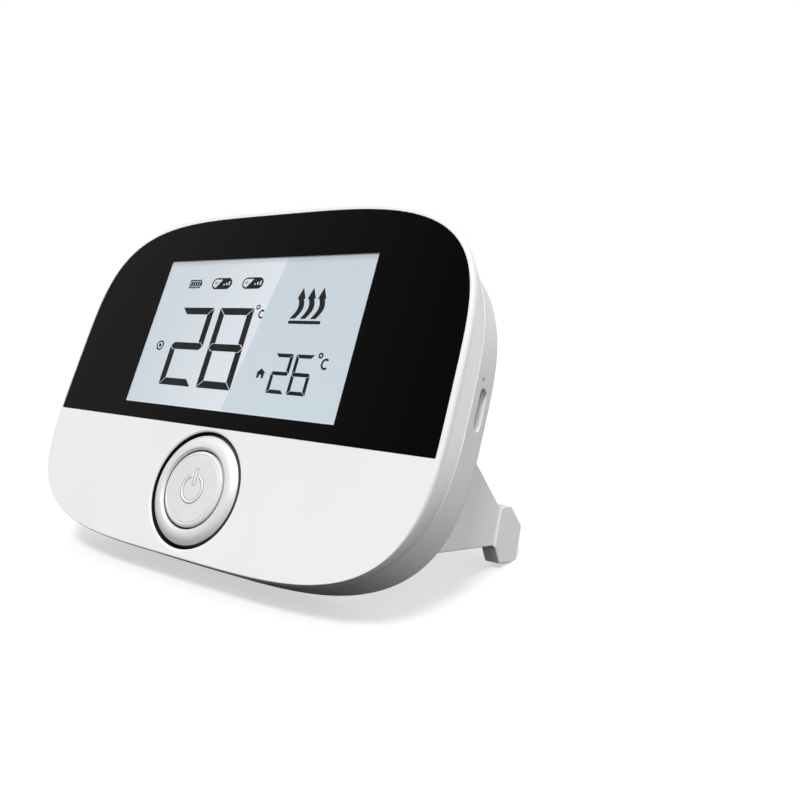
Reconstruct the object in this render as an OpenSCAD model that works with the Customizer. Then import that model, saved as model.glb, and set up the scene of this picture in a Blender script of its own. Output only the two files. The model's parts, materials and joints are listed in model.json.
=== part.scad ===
// Reclined room thermostat: a rounded two-part case with a display window, a turning dial around
// a push button, a charging socket in the side and two folding legs behind.
// The case is drawn upright, with x to the right, y into the case from the face and z up,
// and with its origin at the middle of the face. placed() then leans it back onto the table.

/* [Case] */
// Width of the case at its widest
body_w = 122.6; // [122:0.2:150]
// Height of the case at its tallest, measured along the face
body_h = 89.4; // [89:0.2:110]
// Depth of the case from the face to the flat back
body_t = 15.4; // [15.4:0.1:20]
// Depth of the seam between the front and rear housings
seam_y = 5.8; // [5.4:0.1:6.2]
// Wall thickness of both housings
wall = 2; // [1.6:0.1:2.2]
// How far the case sides stand out from the edge of the flat face, left and right
side_flare = 1.7; // [1:0.1:2.5]
// How far the case sides stand out from the edge of the flat face, top and bottom
top_flare = 1.8; // [1:0.1:2.5]
// Rounding at the edge of the back
back_round = 1.6; // [0.8:0.1:2]
// Angle by which the face leans back on the table
recline = 25.7; // [20:0.1:32]

/* [Display] */
// Width of the visible display
display_w = 68; // [56:0.5:72]
// Height of the visible display
display_h = 40; // [32:0.5:41]
// Distance from the top of the face down to the display
top_border = 12.1; // [10.6:0.1:13]
// Distance from the display down to the lower edge of the dark lens
low_border = 4; // [3.4:0.1:4.8]
// Thickness of the lens
lens_t = 1.6; // [1:0.1:2]
// Thickness of each display glass
glass_t = 1; // [0.7:0.05:1.1]
// Height of the connector ledge on the rear display glass
ledge_h = 3; // [2:0.1:3.2]

/* [Dial] */
// Diameter of the round well that the dial sits in
well_d = 27; // [24:0.1:28]
// Distance from the bottom of the face up to the dial well
dial_margin = 1.6; // [1.2:0.1:2.4]
// Gap between the dial and its well
dial_gap = 0.5; // [0.3:0.05:0.8]
// How far the dial stands out of the face
dial_proud = 1.2; // [0.6:0.1:2]
// Diameter of the push button in the middle of the dial
button_d = 17.8; // [16:0.1:19]
// Gap between the button and the dial
button_gap = 0.25; // [0.15:0.05:0.4]
// Diameter of the hub that the dial turns on
hub_d = 14; // [13:0.1:15]
// Travel of the push button
button_travel = 0.5; // [0.3:0.05:0.6]

/* [Legs] */
// Distance from the widest part of the case in to the leg hinge
hinge_inset = 8.9; // [8.6:0.1:12]
// Thickness of a leg blade
leg_t = 3.2; // [2.6:0.1:3.2]
// Thickness of the foot at the end of a leg
foot_t = 4; // [3.2:0.1:4]
// Angle by which an open leg leans outward
leg_splay = 4; // [0:0.5:8]
// Distance from the hinge along the leg to the back of the foot
leg_l = 42; // [38:0.5:46]
// Height of a leg at its hinge
root_h = 22.6; // [18:0.1:25]
// Distance from the bottom of the case up to the lower end of the hinge
root_rise = 15.5; // [15:0.1:18.6]
// Diameter of the hinge pin
leg_pin_d = 1.5; // [1.2:0.1:1.6]

/* [Electronics] */
// Thickness of the circuit board
board_t = 1.2; // [1:0.1:1.2]
// Battery width
battery_w = 60; // [40:1:62]
// Battery height
battery_h = 34; // [25:1:35]
// Battery thickness
battery_t = 4.3; // [3:0.1:4.4]
// Gap between a leg pocket and the charging socket above it
usb_margin = 0.3; // [0.2:0.1:1.5]

/* [Hidden] */
$fn = 64;
eps = 0.01;

// Clearances
lens_gap = 0.1;        // around the lens in its recess
lip_gap = 0.12;        // between the seam lip and the rear housing
glass_gap = 0.15;      // around the display glass in its tray
run_gap = 0.05;        // radial running clearance of the dial hub and the leg pins
encoder_gap = 0.1;     // between the encoder's rotor and base
fold_gap = 0.4;        // around a folded leg in its pocket
board_gap = 0.5;       // between the board and the bosses that pass through it
over = 1;              // how far a cut runs past the surface that it opens through
sink = 0.5;            // how far a boss is sunk into the wall that it stands on

// Case outline: each ring is a rounded rectangle given by half width, half height, its
// squareness above and below the middle, the height of its middle, and its depth.
ring_steps = 96;
face_ring = [body_w / 2 - side_flare, body_h / 2 - top_flare, 3.9, 4.1, 0];
seam_ring = [body_w / 2, body_h / 2, 2.9, 3.4, 0.9];
back_ring = [body_w / 2 - 0.3, body_h / 2 + 0.5, 2.7, 3.6, 0.7];
edge_depth = 1.8;      // depth of the rounding around the face
edge_side = 0.9;       // width of that rounding, left and right
edge_top = 1.5;        // height of that rounding, top and bottom
edge_lift = 0.6;       // extra height of that rounding at the top
round_steps = 5;

face_top = face_ring[1];
display_z = face_top - top_border - display_h / 2;
lens_low = display_z - display_h / 2 - low_border;
dial_z = -face_ring[1] + dial_margin + well_d / 2;

// Depths, from the face inward
adhesive_t = 0.2;
film_t = 0.2;
guide_t = 1.8;
tray_floor = 0.8;
shelf_y = lens_t + adhesive_t;                  // shelf that the lens is stuck to
shelf_back = shelf_y + 1.4;                     // inner side of that shelf
fascia_back = wall;                             // inner side of the plain lower face
fascia_drop = 2;                                // how far below the lens that face gets thin
glass_y = shelf_y + 0.6;                        // front of the front glass
rear_glass_y = glass_y + glass_t;
films_y = rear_glass_y + glass_t;
guide_y = films_y + 2 * film_t;
tray_back = guide_y + guide_t + tray_floor;
board_y = tray_back;
board_back = board_y + board_t;
inner_back = body_t - wall + 0.2;               // inner side of the back
lip_depth = 1.2;
lip_root = 1;
lip_t = 1.2;

// Display module
glass_edge = 2.5;                               // glass beyond the visible display
window_gap = 0.3;                               // around the glass in the lens shelf
adhesive_inset = 1.2;                           // of the adhesive from the edge of the lens
glass_w = display_w + 2 * glass_edge;
glass_low = display_z - display_h / 2 - glass_edge;
glass_top = display_z + display_h / 2 + glass_edge;
tray_wall = 0.8;
tray_w = glass_w + 2 * (glass_gap + tray_wall);
tray_low = glass_low - glass_gap - tray_wall;
tray_top = glass_top + ledge_h + glass_gap + tray_wall;
tray_y = shelf_back + 0.2;
zebra_w = 1.6;
zebra_gap = 0.1;
zebra_low = glass_top + (ledge_h - zebra_w) / 2;
polariser_inset = 0.8;
diffuser_inset = 0.6;
light_guide_inset = 0.4;

// Dial
well_r = well_d / 2;
well_wall = 1.2;
well_floor_y = 2.8;
well_back = well_floor_y + 1.4;
dial_r = well_r - dial_gap;
hub_r = hub_d / 2;
hub_bore_r = hub_r - 1.8;
button_r = button_d / 2;
bowl_r = button_r + button_gap;
bowl_y = 1.8;                                   // floor of the bowl that holds the button
clip_y = well_back + 0.1;
clip_t = 0.6;
rotor_y = clip_y + clip_t + 0.2;
rotor_back = board_y - 0.4;
rotor_r = hub_r + 2.2;
encoder_r = rotor_r + encoder_gap + 3.2;
guide_r = hub_bore_r - 0.3;
stem_r = 2.4;
switch_w = 4.4;
switch_room_r = switch_w / sqrt(2) + 0.6;
switch_floor = 0.3;
switch_front = board_y - 1.6;
plunger_front = switch_front - 0.6;
plunger_back = board_y - switch_floor - button_travel - 0.2;
plunger_r = 1.1;
plunger_gap = 0.2;

// Fixings
boss_r = 2.8;
boss_back = board_back + 0.3;
pilot_y = fascia_back + 1;                      // bottom of the holes for screws
pilot_r = 0.95;
screw_r = 1.1;
screw_hole_r = 1.3;
screw_tip_y = pilot_y + 0.6;
head_r = 2.1;
head_well_r = 2.6;
head_seat_y = boss_back + 2.2;
head_t = 1.4;
cross_depth = 0.8;
high_boss = [tray_w / 2 + boss_r + 0.65, body_h / 2 - 12.7];
low_boss = [body_w / 2 - 25.3, 9.4 - body_h / 2];
post_r = 2.2;
board_pilot_r = 0.8;
board_screw_r = 0.9;
board_hole_r = 1.15;
board_screw_tip_y = pilot_y + 0.4;
board_head_r = 1.9;
board_head_t = 1.1;

// Board
board_inset = wall + 1.6;

// Charging socket, with the 8.94 by 3.26 opening of its standard
usb_w = 8.94;
usb_t = 3.26;
usb_l = 7.3;
usb_wall = 0.3;
usb_front_x = body_w / 2 - 1.1;
usb_back_t = 0.8;
usb_y = board_back + usb_t / 2;
tongue_t = 0.7;
tongue_w = 6.6;
port_gap = 0.12;
port_depth = 6;                                 // of the side wall that the port passes through
led_t = 0.6;
led_rise = 6;                                   // of the charging light above the socket
pinhole_r = 0.5;

// Legs
hinge_x = body_w / 2 - hinge_inset;
hinge_y = body_t - 2.2;
root_low = root_rise - body_h / 2;
root_high = root_low + root_h;
pocket_y = hinge_y - foot_t / 2 - fold_gap;
pocket_wall = 1.2;
pocket_end_x = hinge_x - leg_l - 2 * fold_gap;
pocket_low = root_low - fold_gap;
pocket_high = root_high + fold_gap;
pin_l = pocket_high - pocket_low + 2 * pocket_wall - 0.4;

// Things placed above and below the leg pockets
usb_z = pocket_high + pocket_wall + usb_margin + usb_w / 2;
high_post = [body_w / 2 - 11.3, usb_z + 8.2];
low_post = [22, dial_z - 7.2];
key_x = 41;
key_r = 4;
key_slot_r = 2.1;
key_rise = 5.2;
key_z = pocket_high + pocket_wall + 2.4 + key_r;
vent_count = 7;
vent_pitch = 4;
vent_w = 1.6;
vent_h = 4.8;
vent_z = pocket_low - pocket_wall - 2 - (vent_h + vent_w) / 2;

// The table plane, as a height along the upright direction of the reclined case
table_h = -((back_ring[1] - back_ring[4] - back_round) * cos(recline)
    + (body_t - back_round) * sin(recline) + back_round);
function table_z(y) = (table_h + y * sin(recline)) / cos(recline);

// Depth from the face of a point a distance l along an open leg
function leg_y(l) = hinge_y + l * cos(leg_splay);
function foot_point(l, above) = [l, table_z(leg_y(l)) + above];
foot_rear = foot_point(leg_l - 0.9, 8.7);

// Front and rear limits of the reclined case, used to centre it
front_limit = -face_ring[1] * sin(recline);
rear_limit = (leg_y(foot_rear[0]) + foot_t / 2 * sin(leg_splay)) * cos(recline)
    + foot_rear[1] * sin(recline);

// Colours
case_white = "#eceded";
lens_black = "#17181a";
metal = "#b9bcc0";
steel = "#8f9499";
board_green = "#2f6b4f";
chip_black = "#26282b";
natural = "#dcdcd6";

module placed() {
    translate([0, -(front_limit + rear_limit) / 2, -table_h])
        rotate([-recline, 0, 0])
            children();
}

// Points of a ring outline; grow moves it outward, negative is inward
function outline(ring, grow = 0) = [for (i = [0:ring_steps - 1])
    let (a = 360 * i / ring_steps, c = cos(a), s = sin(a), n = s >= 0 ? ring[2] : ring[3])
    [(ring[0] + grow) * sign(c) * pow(abs(c), 2 / n),
     ring[4] + (ring[1] + grow) * sign(s) * pow(abs(s), 2 / n)]];

function at_depth(points, y) = [for (p = points) [p[0], y, p[1]]];

// Closed skin over a list of point rings that share one count
module loft(rings) {
    n = len(rings[0]);
    last = len(rings) - 1;
    near = [for (k = [0:last - 1], i = [0:n - 1])
        [k * n + i, k * n + (i + 1) % n, (k + 1) * n + (i + 1) % n]];
    far = [for (k = [0:last - 1], i = [0:n - 1])
        [k * n + i, (k + 1) * n + (i + 1) % n, (k + 1) * n + i]];
    front_cap = [[for (i = [0:n - 1]) n - 1 - i]];
    rear_cap = [[for (i = [0:n - 1]) last * n + i]];
    polyhedron(points = [for (r = rings, p = r) p],
        faces = concat(near, far, front_cap, rear_cap));
}

// A flat shape in x and z, made solid from depth y0 to depth y1
module slab(y0, y1) {
    translate([0, y1, 0])
        rotate([90, 0, 0])
            linear_extrude(y1 - y0)
                children();
}

module block(x, z, y0, y1) {
    translate([x[0], y0, z[0]])
        cube([x[1] - x[0], y1 - y0, z[1] - z[0]]);
}

module rod(x, z, y0, y1, r) {
    translate([x, y1, z])
        rotate([90, 0, 0])
            cylinder(r = r, h = y1 - y0);
}

// A shape turned about an axis along y at x, z; drawn as radius and height out of the face
module turned(x, z) {
    translate([x, 0, z])
        rotate([90, 0, 0])
            rotate_extrude()
                children();
}

// One copy on each side of the case
module both_sides() {
    children();
    mirror([1, 0, 0]) children();
}

module at_bosses() {
    both_sides() {
        translate([high_boss[0], 0, high_boss[1]]) children();
        translate([low_boss[0], 0, low_boss[1]]) children();
    }
}

module at_posts() {
    both_sides() {
        translate([high_post[0], 0, high_post[1]]) children();
        translate([low_post[0], 0, low_post[1]]) children();
    }
}

// Rounding around the face, as a quarter turn from the flat face to the case side
function face_edge(a) = [face_ring[0] + edge_side * sin(a), face_ring[1] + edge_top * sin(a),
    face_ring[2] - 0.3 * sin(a), face_ring[3] - 0.2 * sin(a), edge_lift * sin(a)];

module case_front_skin() {
    loft(concat(
        [for (k = [0:round_steps])
            let (a = 90 * k / round_steps)
            at_depth(outline(face_edge(a)), edge_depth * (1 - cos(a)))],
        [at_depth(outline(seam_ring), seam_y)]));
}

module case_rear_skin() {
    loft(concat(
        [at_depth(outline(seam_ring), seam_y)],
        [for (k = [0:round_steps])
            let (a = 90 * k / round_steps)
            at_depth(outline(back_ring, -back_round * (1 - cos(a))),
                body_t - back_round * (1 - sin(a)))]));
}

module lens_outline(grow) {
    intersection() {
        polygon(outline(face_ring, grow - lens_gap - 0.2));
        translate([-body_w, lens_low - grow])
            square([2 * body_w, body_h]);
    }
}

// The display glass, grown by a margin, with its connector ledge if that is wanted
module glass_outline(grow, ledge = 0) {
    translate([-glass_w / 2 - grow, glass_low - grow])
        square([glass_w + 2 * grow, glass_top + ledge - glass_low + 2 * grow]);
}

module rounded_rect(x, z, r) {
    hull()
        for (cx = [x[0] + r, x[1] - r], cz = [z[0] + r, z[1] - r])
            translate([cx, cz]) circle(r);
}

// ---- Case ----

module front_housing() {
    color(case_white) placed() difference() {
        union() {
            difference() {
                case_front_skin();
                slab(shelf_back, seam_y + eps)
                    polygon(outline(seam_ring, -wall));
                slab(fascia_back, shelf_back + eps)
                    intersection() {
                        polygon(outline(seam_ring, -wall));
                        translate([-body_w, -body_h])
                            square([2 * body_w, lens_low + body_h - fascia_drop]);
                    }
            }
            slab(seam_y - lip_root, seam_y + lip_depth)
                difference() {
                    polygon(outline(seam_ring, -wall - lip_gap));
                    polygon(outline(seam_ring, -wall - lip_gap - lip_t));
                }
            rod(0, dial_z, fascia_back - sink, well_back, well_r + well_wall);
            at_bosses() rod(0, 0, fascia_back - sink, boss_back, boss_r);
            at_posts() rod(0, 0, fascia_back - sink, board_y, post_r);
        }
        slab(-over, shelf_y) lens_outline(lens_gap);
        slab(-over, shelf_back + eps) glass_outline(window_gap);
        rod(0, dial_z, -over, well_floor_y, well_r);
        rod(0, dial_z, -over, well_back + over, hub_r + run_gap);
        at_bosses() rod(0, 0, pilot_y, boss_back + over, pilot_r);
        at_posts() rod(0, 0, pilot_y, board_y + over, board_pilot_r);
    }
}

module leg_pocket() {
    block([pocket_end_x, hinge_x + leg_t / 2 + fold_gap], [pocket_low, pocket_high],
        pocket_y, body_t + over);
}

module pocket_shell() {
    block([pocket_end_x - pocket_wall, hinge_x + leg_t / 2 + fold_gap + pocket_wall],
        [pocket_low - pocket_wall, pocket_high + pocket_wall],
        pocket_y - pocket_wall, inner_back + eps);
}

module keyhole() {
    rod(key_x, key_z, inner_back - over, body_t + over, key_r);
    rod(key_x, key_z + key_rise, inner_back - over, body_t + over, key_slot_r);
    block([key_x - key_slot_r, key_x + key_slot_r], [key_z, key_z + key_rise],
        inner_back - over, body_t + over);
}

// The rounded slot that a charging socket shows, grown by a margin
module port_outline(grow) {
    r = usb_t / 2 + grow;
    h = usb_w / 2 + grow - r;
    for (s = [-1, 1])
        translate([0, s * h]) circle(r);
    translate([-r, -h]) square([2 * r, 2 * h]);
}

// A shape drawn as depth and height, made solid from x0 to x1
module side_slab(x0, x1) {
    translate([x0, 0, 0])
        rotate([90, 0, 90])
            linear_extrude(x1 - x0)
                children();
}

module leg_pin() {
    translate([hinge_x, hinge_y, (pocket_low + pocket_high - pin_l) / 2])
        cylinder(d = leg_pin_d, h = pin_l);
}

module vent_slot() {
    square([vent_w, vent_h], center = true);
    for (s = [-1, 1])
        translate([0, s * vent_h / 2]) circle(d = vent_w);
}

module rear_housing() {
    color(case_white) placed() difference() {
        union() {
            difference() {
                case_rear_skin();
                slab(seam_y - eps, inner_back)
                    polygon(outline(seam_ring, -wall));
            }
            at_bosses() rod(0, 0, boss_back, inner_back + eps, boss_r);
            intersection() {
                case_rear_skin();
                both_sides() pocket_shell();
            }
        }
        both_sides() leg_pocket();
        both_sides() keyhole();
        at_bosses() {
            rod(0, 0, boss_back - over, body_t + over, screw_hole_r);
            rod(0, 0, head_seat_y, body_t + over, head_well_r);
        }
        both_sides() leg_pin();
        side_slab(body_w / 2 - port_depth, body_w / 2 + over)
            translate([usb_y, usb_z]) port_outline(port_gap);
        translate([body_w / 2 - port_depth, board_back + led_t / 2, usb_z + led_rise])
            rotate([0, 90, 0]) cylinder(r = pinhole_r, h = port_depth + over);
        for (i = [0:vent_count - 1])
            slab(inner_back - over, body_t + over)
                translate([(i - (vent_count - 1) / 2) * vent_pitch, vent_z]) vent_slot();
    }
}

// Cross-head screw whose head is seated at the given depth
module screw(tip, seat, r, cap_r, cap_t) {
    difference() {
        union() {
            rod(0, 0, tip, seat, r);
            rod(0, 0, seat, seat + cap_t, cap_r);
        }
        slab(seat + cap_t - cross_depth, seat + cap_t + over)
            for (a = [0, 90])
                rotate(a) square([1.15 * cap_r, 0.28 * cap_r], center = true);
    }
}

module housing_screws() {
    color(steel) placed() at_bosses() screw(screw_tip_y, head_seat_y, screw_r, head_r, head_t);
}

// ---- Display ----

module display_lens() {
    color(lens_black) placed() slab(0, lens_t) lens_outline(0);
}

module lens_adhesive() {
    color("#3b3d40") placed() slab(lens_t, shelf_y) difference() {
        lens_outline(-adhesive_inset);
        glass_outline(2 * window_gap);
    }
}

module front_polariser() {
    color("#b8c2c8") placed()
        slab(glass_y - film_t, glass_y) glass_outline(-polariser_inset);
}

module lcd_front_glass() {
    color("#cfdde2") placed() slab(glass_y, rear_glass_y) glass_outline(0);
}

module lcd_rear_glass() {
    color("#c3d3d9") placed() slab(rear_glass_y, films_y) glass_outline(0, ledge_h);
}

module rear_polariser() {
    color("#a9b4ba") placed()
        slab(films_y, films_y + film_t) glass_outline(-polariser_inset);
}

module diffuser_film() {
    color("#f4f6f6") placed()
        slab(films_y + film_t, guide_y) glass_outline(-diffuser_inset);
}

led_count = 3;
led_pitch = 12;
led_w = 1.2;
led_h = 3.2;
led_notch = 1.3;

module at_leds() {
    for (i = [0:led_count - 1])
        translate([glass_w / 2 - light_guide_inset - led_w, 0,
            display_z + (i - (led_count - 1) / 2) * led_pitch])
            children();
}

module light_guide() {
    color("#e6f1f3") placed() difference() {
        slab(guide_y, guide_y + guide_t) glass_outline(-light_guide_inset);
        at_leds() block([led_w - led_notch, led_w + over], [-led_h / 2 - 0.2, led_h / 2 + 0.2],
            guide_y - over, guide_y + guide_t + over);
    }
}

module backlight_leds() {
    color("#f3efd2") placed()
        at_leds() block([0, led_w], [-led_h / 2, led_h / 2], guide_y + 0.2, guide_y + guide_t);
}

module zebra_outline(grow) {
    translate([-glass_w / 2 + 1.7 - grow, zebra_low - grow])
        square([glass_w - 3.4 + 2 * grow, zebra_w + 2 * grow]);
}

module lcd_tray() {
    color("#f1f1ee") placed() difference() {
        block([-tray_w / 2, tray_w / 2], [tray_low, tray_top], tray_y, tray_back);
        slab(shelf_back, films_y) glass_outline(glass_gap, ledge_h);
        slab(films_y - eps, guide_y + guide_t) glass_outline(glass_gap);
        slab(films_y - over, tray_back + over) zebra_outline(zebra_gap);
    }
}

module zebra_strip() {
    color("#5b6066") placed() slab(films_y, board_y) zebra_outline(0);
}

// ---- Electronics ----

module main_board() {
    color(board_green) placed() difference() {
        slab(board_y, board_back)
            polygon(outline(seam_ring, -board_inset));
        at_bosses() rod(0, 0, board_y - over, board_back + over, boss_r + board_gap);
        at_posts() rod(0, 0, board_y - over, board_back + over, board_hole_r);
    }
}

module board_screws() {
    color(steel) placed() at_posts()
        screw(board_screw_tip_y, board_back, board_screw_r, board_head_r, board_head_t);
}

// A block on the back of the board, given by its middle, its width, its height and the
// heights above the board of its two faces
module on_board(x, z, w, h, low, high) {
    block([x - w / 2, x + w / 2], [z - h / 2, z + h / 2], board_back + low, board_back + high);
}

chip_w = 8;
chip_x = -battery_w / 2 - chip_w;
chip_z = display_z - 6.6;
chip_low = 0.1;
chip_high = 1.3;
pin_pitch = 0.8;
pin_w = 0.3;
pin_t = 0.35;

module controller_chip() {
    color(chip_black) placed() {
        on_board(chip_x, chip_z, chip_w, chip_w, chip_low, chip_high);
        for (side = [0:3], i = [-4:4])
            translate([chip_x, 0, chip_z])
                rotate([0, 90 * side, 0])
                    on_board((chip_w + pin_pitch) / 2, i * pin_pitch, 1, pin_w, 0, pin_t);
    }
}

module_t = 0.8;
wifi_w = 15;
wifi_h = 16;
wifi_x = battery_w / 2 + wifi_w / 2 + 2;
wifi_z = display_z + 9.2;
shield_h = 10;
shield_t = 2.2;

module wifi_module() {
    color("#1f4f7a") placed() on_board(wifi_x, wifi_z, wifi_w, wifi_h, 0, module_t);
}

module wifi_shield() {
    color(metal) placed()
        on_board(wifi_x, wifi_z - (wifi_h - shield_h) / 2 + 1, wifi_w - 2, shield_h,
            module_t, module_t + shield_t);
}

radio_w = 12;
radio_h = 16;
radio_x = -battery_w / 2 - radio_w / 2 - 2.5;
radio_z = display_z + 9.2;

module radio_module() {
    color("#1f5f3a") placed() {
        on_board(radio_x, radio_z, radio_w, radio_h, 0, module_t);
        on_board(radio_x, radio_z - 2.5, 5, 5, module_t, module_t + 1);
        on_board(radio_x - 1, radio_z + 4.5, 4, 3, module_t, module_t + 1.4);
    }
}

// Round tube along a list of points, each ring square to the route
function unit(v) = v / norm(v);
function tangent(p, i) = unit(p[min(i + 1, len(p) - 1)] - p[max(i - 1, 0)]);
function tube_ring(p, i, r, sides, up) =
    let (t = tangent(p, i), s = unit(cross(t, up)), u = cross(s, t))
    [for (k = [0:sides - 1]) p[i] + r * (cos(360 * k / sides) * s + sin(360 * k / sides) * u)];

module tube(p, r, sides, up) {
    loft([for (i = [0:len(p) - 1]) tube_ring(p, i, r, sides, up)]);
}

coil_turns = 8;
coil_steps = 12;
coil_r = 1.7;
coil_wire_r = 0.3;
coil_x = radio_x - radio_w / 2 - 3.5;
coil_y = board_back + coil_r + 2 * coil_wire_r;
coil_z = radio_z - 7;
coil_pitch = 1.6;

module antenna_coil() {
    color("#b87a3d") placed()
        tube([for (i = [0:coil_turns * coil_steps])
            let (a = 360 * i / coil_steps)
            [coil_x + coil_r * cos(a), coil_y + coil_r * sin(a),
             coil_z + coil_pitch * i / coil_steps]], coil_wire_r, 6, [0, 0, 1]);
}

// The bead of the temperature sensor sits behind the vent slots
bead_r = 1.1;
bead_rise = 1.5;

module temperature_sensor() {
    color("#3c4a3a") placed() {
        translate([0, board_back + bead_rise, vent_z]) sphere(r = bead_r, $fn = 32);
        for (x = [-0.7, 0.7])
            rod(x, vent_z, board_back, board_back + bead_rise, 0.2);
    }
}

module charge_led() {
    color("#d8e8d0") placed()
        on_board(usb_front_x - port_depth, usb_z + led_rise, 1.6, 0.8, 0, led_t);
}

module usb_shell() {
    color(metal) placed() difference() {
        side_slab(usb_front_x - usb_l, usb_front_x)
            translate([usb_y, usb_z]) port_outline(0);
        side_slab(usb_front_x - usb_l + usb_back_t, usb_front_x + over)
            translate([usb_y, usb_z]) port_outline(-usb_wall);
    }
}

module usb_tongue() {
    color("#e4e4e0") placed()
        side_slab(usb_front_x - usb_l + usb_back_t, usb_front_x - 1)
            translate([usb_y, usb_z]) square([tongue_t, tongue_w], center = true);
}

battery_low = display_z - 10.6;
battery_top = battery_low + battery_h;
battery_back = inner_back - 0.3;
battery_y = battery_back - battery_t;
tape_inset = 5;

module battery_cell() {
    color("#c9ccd0") placed()
        slab(battery_y, battery_back)
            rounded_rect([-battery_w / 2, battery_w / 2], [battery_low, battery_top], 2);
}

module battery_tape() {
    color("#2b2c2e") placed()
        block([-battery_w / 2 + tape_inset, battery_w / 2 - tape_inset],
            [battery_low + tape_inset, battery_top - tape_inset], battery_back, inner_back);
}

// The header's mouth is at header_x and faces left; the plug reaches header_in into it
header_x = 4;
header_z = battery_top + 3.6;
header_l = 7;
header_in = 4.3;
plug_l = 7.3;
plug_w = 3;
plug_low = 0.7;
plug_high = 2.2;
plug_gap = 0.1;

module battery_header() {
    color("#efeee8") placed() difference() {
        on_board(header_x + header_l / 2, header_z, header_l, plug_w + 1.4, 0, plug_high + 0.7);
        on_board(header_x + header_in / 2, header_z, header_in + 2 * plug_gap + over,
            plug_w + 2 * plug_gap, plug_low - plug_gap, plug_high + plug_gap);
    }
}

module battery_plug() {
    color("#e9e8e2") placed()
        on_board(header_x + header_in - plug_l / 2, header_z, plug_l, plug_w, plug_low, plug_high);
}

// Points of a smooth curve through hand-picked stations
function blend(a, b, c, d, t) = 0.5 * (2 * b + (c - a) * t + (2 * a - 5 * b + 4 * c - d) * t * t
    + (3 * b - a - 3 * c + d) * t * t * t);
function smooth(p, steps) = [for (i = [0:len(p) - 2], k = [0:steps - (i < len(p) - 2 ? 1 : 0)])
    blend(p[max(i - 1, 0)], p[i], p[i + 1], p[min(i + 2, len(p) - 1)], k / steps)];

lead_r = 0.5;
lead_y = board_back + (plug_low + plug_high) / 2;
function lead_route(x, z) = [[x, lead_y + 0.6, battery_top], [x, lead_y + 0.6, battery_top + 1.4],
    [x + 1.6, lead_y + 0.2, header_z + z - 0.4], [x + 4, lead_y, header_z + z],
    [-6, lead_y, header_z + z], [header_x + header_in - plug_l, lead_y, header_z + z]];

module battery_lead_red() {
    color("#b5222a") placed() tube(smooth(lead_route(-20, -0.8), 4), lead_r, 8, [0, 1, 0]);
}

module battery_lead_black() {
    color("#1c1c1e") placed() tube(smooth(lead_route(-23, 0.8), 4), lead_r, 8, [0, 1, 0]);
}

// ---- Dial and button ----

module encoder_base() {
    color("#303236") placed() difference() {
        rod(0, dial_z, rotor_y - 0.1, board_y, encoder_r);
        rod(0, dial_z, rotor_y - over, board_y + over, rotor_r + encoder_gap);
    }
}

module encoder_rotor() {
    color(natural) placed() difference() {
        rod(0, dial_z, rotor_y, rotor_back, rotor_r);
        rod(0, dial_z, rotor_y - over, rotor_back + over, hub_r);
    }
}

// Cross-section of the dial as radius and height out of the face: a soft crown between
// the well and the button
crown_steps = 8;
crown_mid = (dial_r + bowl_r) / 2;
crown_half = (dial_r - bowl_r) / 2;
crown_rise = 1;
crown_foot = dial_proud - crown_rise;
ring_back = well_floor_y - 0.3;
clip_groove = 0.6;
clip_rim = 1;
clip_mouth = 2.8;

module dial_ring() {
    color("#d9dadb") placed() difference() {
        turned(0, dial_z)
            polygon(concat(
                [[bowl_r, -bowl_y], [bowl_r, crown_foot]],
                [for (k = [1:crown_steps])
                    let (a = 180 - 180 * k / (crown_steps + 1))
                    [crown_mid + crown_half * cos(a), crown_foot + crown_rise * sin(a)]],
                [[dial_r, crown_foot], [dial_r, -ring_back], [hub_r, -ring_back],
                 [hub_r, -rotor_back], [hub_bore_r, -rotor_back], [hub_bore_r, -bowl_y]]));
        turned(0, dial_z)
            translate([hub_r - clip_groove, -clip_y - clip_t])
                square([clip_groove + over, clip_t]);
    }
}

module dial_clip() {
    color(steel) placed() difference() {
        rod(0, dial_z, clip_y, clip_y + clip_t, hub_r + clip_rim);
        rod(0, dial_z, clip_y - over, clip_y + clip_t + over, hub_r - clip_groove);
        block([-clip_mouth / 2, clip_mouth / 2], [dial_z - hub_r - clip_rim - over, dial_z],
            clip_y - over, clip_y + clip_t + over);
    }
}

// The button's stem slides in the guide, and a rib on the stem runs in the guide's groove
guide_front = bowl_y + 1.2;
rib_w = 1.2;
rib_rise = 0.5;
rib_gap = 0.1;

module button_guide() {
    color("#e8e8e4") placed() difference() {
        rod(0, dial_z, guide_front, board_y, guide_r);
        rod(0, dial_z, guide_front - over, board_y, stem_r + run_gap);
        rod(0, dial_z, plunger_front + 0.2, board_y + over, switch_room_r);
        block([-rib_w / 2 - rib_gap, rib_w / 2 + rib_gap],
            [dial_z, dial_z + stem_r + rib_rise + 2 * rib_gap],
            guide_front - over, plunger_front + over);
    }
}

cap_front = 0.2 - dial_proud;
cap_t = 1.7;
cap_bevel = 0.7;
cap_bevel_t = 0.5;
symbol_r = 3.1;
symbol_w = 0.6;
symbol_proud = 0.2;
symbol_gap = 2.2;
bar_low = 0.8;
bar_l = 3.7;

module power_symbol() {
    difference() {
        circle(symbol_r + symbol_w / 2);
        circle(symbol_r - symbol_w / 2);
        translate([-symbol_gap / 2, 0]) square([symbol_gap, symbol_r + symbol_w]);
    }
    translate([-symbol_w / 2, bar_low]) square([symbol_w, bar_l]);
}

module button_cap() {
    color("#e2e2e2") placed() {
        turned(0, dial_z)
            polygon([[0, -cap_front], [button_r - cap_bevel, -cap_front],
                [button_r, -cap_front - cap_bevel_t], [button_r, -cap_front - cap_t],
                [0, -cap_front - cap_t]]);
        rod(0, dial_z, 0, plunger_front, stem_r);
        block([-rib_w / 2, rib_w / 2], [dial_z, dial_z + stem_r + rib_rise],
            guide_front + 0.4, plunger_front - 0.2);
        slab(cap_front - symbol_proud, cap_front + 0.1)
            translate([0, dial_z]) power_symbol();
    }
}

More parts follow.
